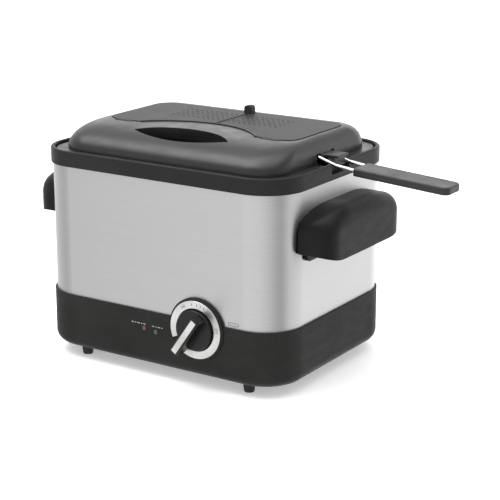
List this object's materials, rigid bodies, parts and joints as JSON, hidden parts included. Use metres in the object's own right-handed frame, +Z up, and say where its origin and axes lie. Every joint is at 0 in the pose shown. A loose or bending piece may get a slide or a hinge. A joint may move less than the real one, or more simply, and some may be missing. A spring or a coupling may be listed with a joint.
{
  "type": "deep fryer",
  "caption": "Rectangular steel-sided compact deep fryer with a lift-off filter lid, lift-out basket with a long handle, side grips and a temperature dial.",
  "frame": {"origin": "on the table under the middle of the body, at the level of the undersides of the feet", "axes": "+Z up, the dial faces -Y, the basket handle points along +X"},
  "size_m": [0.3633, 0.1973, 0.2013],
  "materials": {
    "body_plastic": "satin dark grey plastic",
    "rim_plastic": "satin black plastic",
    "handle_plastic": "satin black plastic",
    "lid_plastic": "satin dark grey plastic",
    "cover_plastic": "textured dark grey plastic",
    "knob_plastic": "satin black plastic",
    "grip_plastic": "satin black plastic",
    "holder_plastic": "plain off-white plastic",
    "inlet_plastic": "black plastic",
    "foot_rubber": "black rubber",
    "steel_brushed": "brushed stainless steel",
    "plate_steel": "dark coated sheet steel",
    "bowl_coating": "dark non-stick coating",
    "silver_trim": "satin silver",
    "bright_wire": "bright steel wire",
    "bracket_steel": "pressed steel",
    "zinc_screw": "zinc-plated steel",
    "element_sheath": "heat-darkened steel",
    "shield_aluminium": "mill-finish aluminium",
    "sensor_copper": "copper",
    "fuse_case": "satin metal",
    "thermostat_case": "brown moulded case",
    "lens_red": "clear red plastic",
    "lens_green": "clear green plastic",
    "lamp_glass": "clear glass",
    "contact_brass": "bright brass",
    "lead_sleeving": "woven glass-fibre sleeving",
    "liner_metal": "sheet steel",
    "grease_mesh": "aluminium mesh",
    "charcoal_pad": "black charcoal felt"
  },
  "bodies": {
    "body": {"base_housing": "body_plastic", "bottom_plate": "plate_steel", "plate_screws": "zinc_screw", "foot_front_right": "foot_rubber", "foot_front_left": "foot_rubber", "foot_rear_right": "foot_rubber", "foot_rear_left": "foot_rubber", "steel_sleeve": "steel_brushed", "rim_collar": "rim_plastic", "bowl": "bowl_coating", "heating_element": "element_sheath", "heat_shield": "shield_aluminium", "sensor_bulb": "sensor_copper", "thermal_fuse": "fuse_case", "holding_clips": "shield_aluminium", "dial_ring": "silver_trim", "thermostat_body": "thermostat_case", "thermostat_plate": "shield_aluminium", "lens_red": "lens_red", "lens_green": "lens_green", "lamp_red": "lamp_glass", "lamp_green": "lamp_glass", "lamp_holder": "holder_plastic", "power_inlet": "inlet_plastic", "inlet_contacts": "contact_brass", "terminal_block": "holder_plastic", "supply_leads": "lead_sleeving", "element_lead": "lead_sleeving", "thermostat_lead": "lead_sleeving", "fuse_lead": "lead_sleeving", "side_handle_right": "handle_plastic", "side_handle_left": "handle_plastic", "handle_screws_right": "zinc_screw", "handle_screws_left": "zinc_screw"},
    "dial": {"knob_body": "knob_plastic", "knob_inlay": "silver_trim", "thermostat_shaft": "zinc_screw"},
    "basket": {"basket_floor": "bright_wire", "basket_bend": "bright_wire", "basket_wall_front": "bright_wire", "basket_wall_rear": "bright_wire", "basket_wall_right": "bright_wire", "basket_wall_left": "bright_wire", "basket_corners": "bright_wire", "basket_rim": "bright_wire", "basket_bracket": "bracket_steel", "basket_wires": "bright_wire", "basket_grip": "grip_plastic"},
    "lid": {"lid_shell": "lid_plastic", "lid_liner": "liner_metal", "liner_screws": "zinc_screw", "grease_filter": "grease_mesh", "charcoal_filter": "charcoal_pad"},
    "filter_cover": {"filter_cover": "cover_plastic", "hinge_pins": "zinc_screw"}
  },
  "joints": [
    {"name": "dial_turn", "type": "hinge", "parent": "body", "child": "dial", "pos_m": [0.0425, -0.095, 0.049], "axis": [0, 1, 0], "range_deg": [0, 229]},
    {"name": "basket_lift", "type": "slide", "parent": "body", "child": "basket", "axis": [0, 0, 1], "range_m": [0, 0.11]},
    {"name": "lid_lift", "type": "slide", "parent": "basket", "child": "lid", "axis": [0, 0, 1], "range_m": [0, 0.08]},
    {"name": "filter_cover_hinge", "type": "hinge", "parent": "lid", "child": "filter_cover", "pos_m": [0, -0.029, 0.193], "axis": [1, 0, 0], "range_deg": [0, 90]}
  ]
}
